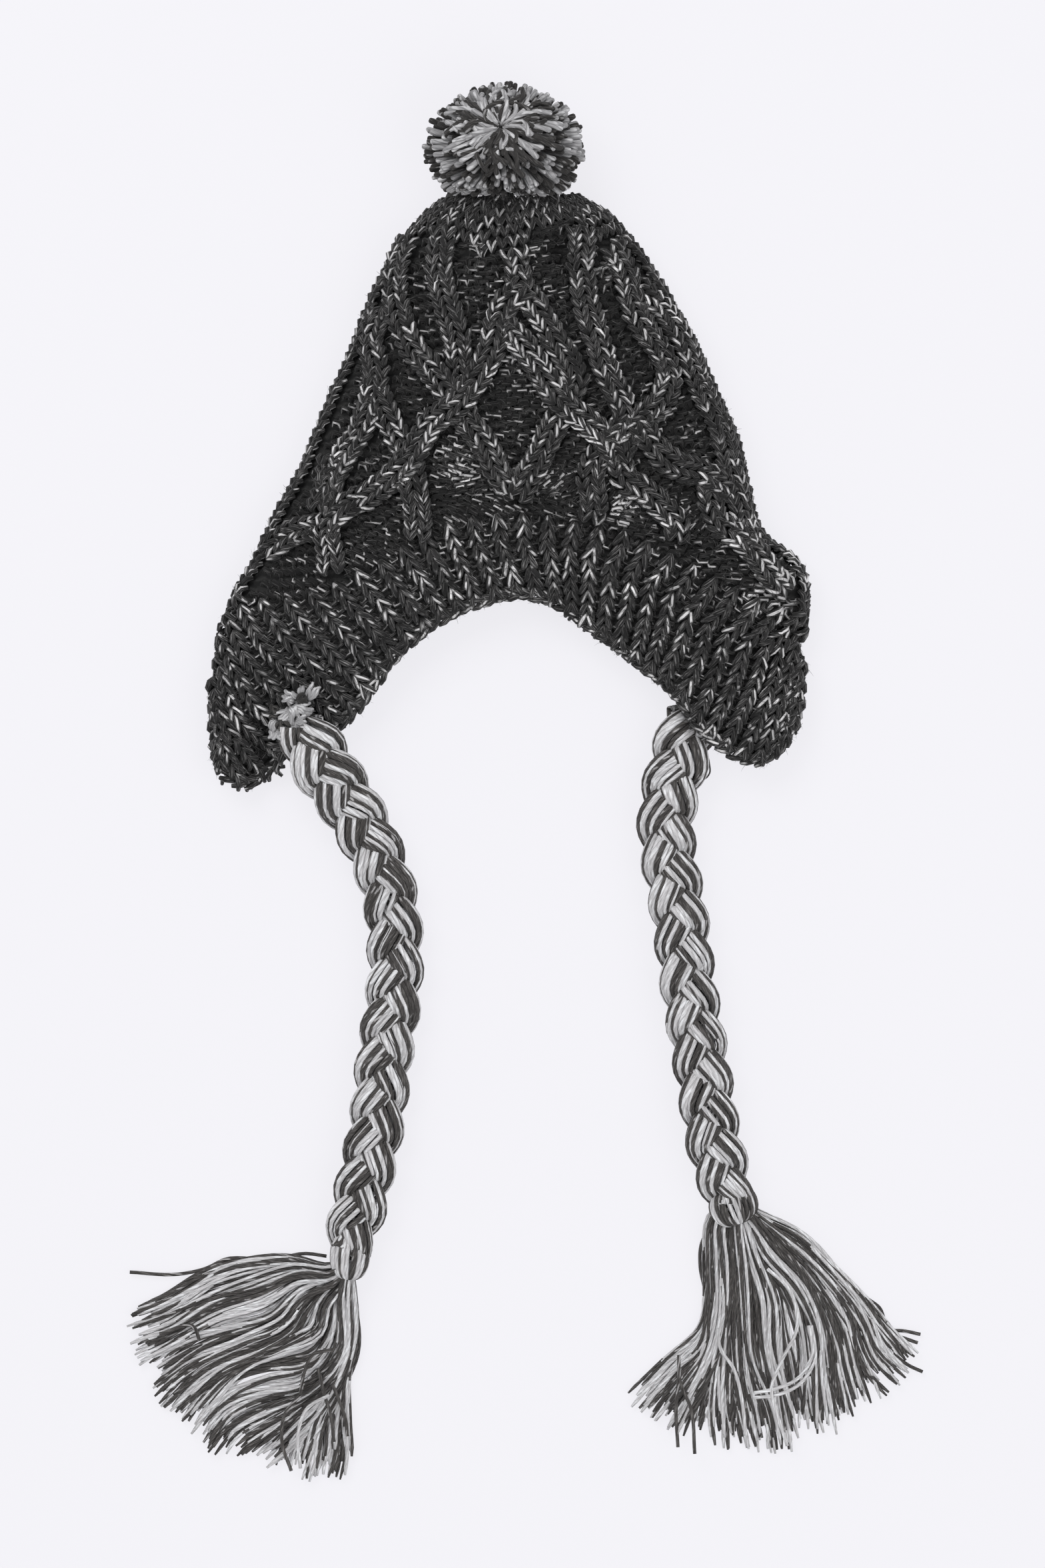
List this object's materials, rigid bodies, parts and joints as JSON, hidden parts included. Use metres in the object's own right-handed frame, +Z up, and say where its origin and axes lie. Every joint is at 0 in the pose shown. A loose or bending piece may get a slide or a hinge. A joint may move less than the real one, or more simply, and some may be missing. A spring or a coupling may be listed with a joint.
{
  "type": "knitted pet hat with ear flaps and braided ties",
  "caption": "Cable-knit pet hat laid flat, with a ribbed brim, folded ear flaps, a pompom and long braided ties that end in tassels.",
  "frame": {"origin": "on the surface that the hat lies on, under the middle of the box round the hat and its pompom", "axes": "+Z up from the surface, +Y from the ear flaps to the pompom, +X across the brim to the right ear flap as seen from above"},
  "size_m": [0.2928, 0.5278, 0.048],
  "materials": {
    "charcoal_knit": "matt knitted wool",
    "grey_yarn": "matt wool yarn in two greys"
  },
  "bodies": {
    "root": {"crown": "charcoal_knit", "rib_band_front": "charcoal_knit", "rib_band_back": "charcoal_knit", "ear_flap_left": "charcoal_knit", "ear_flap_right": "charcoal_knit", "pompom": "grey_yarn", "braid_left_a": "grey_yarn", "braid_left_b": "grey_yarn", "braid_left_c": "grey_yarn", "braid_right_a": "grey_yarn", "braid_right_b": "grey_yarn", "braid_right_c": "grey_yarn", "tassel_left": "grey_yarn", "tassel_right": "grey_yarn", "knot_left": "grey_yarn", "knot_right": "grey_yarn"}
  },
  "joints": []
}
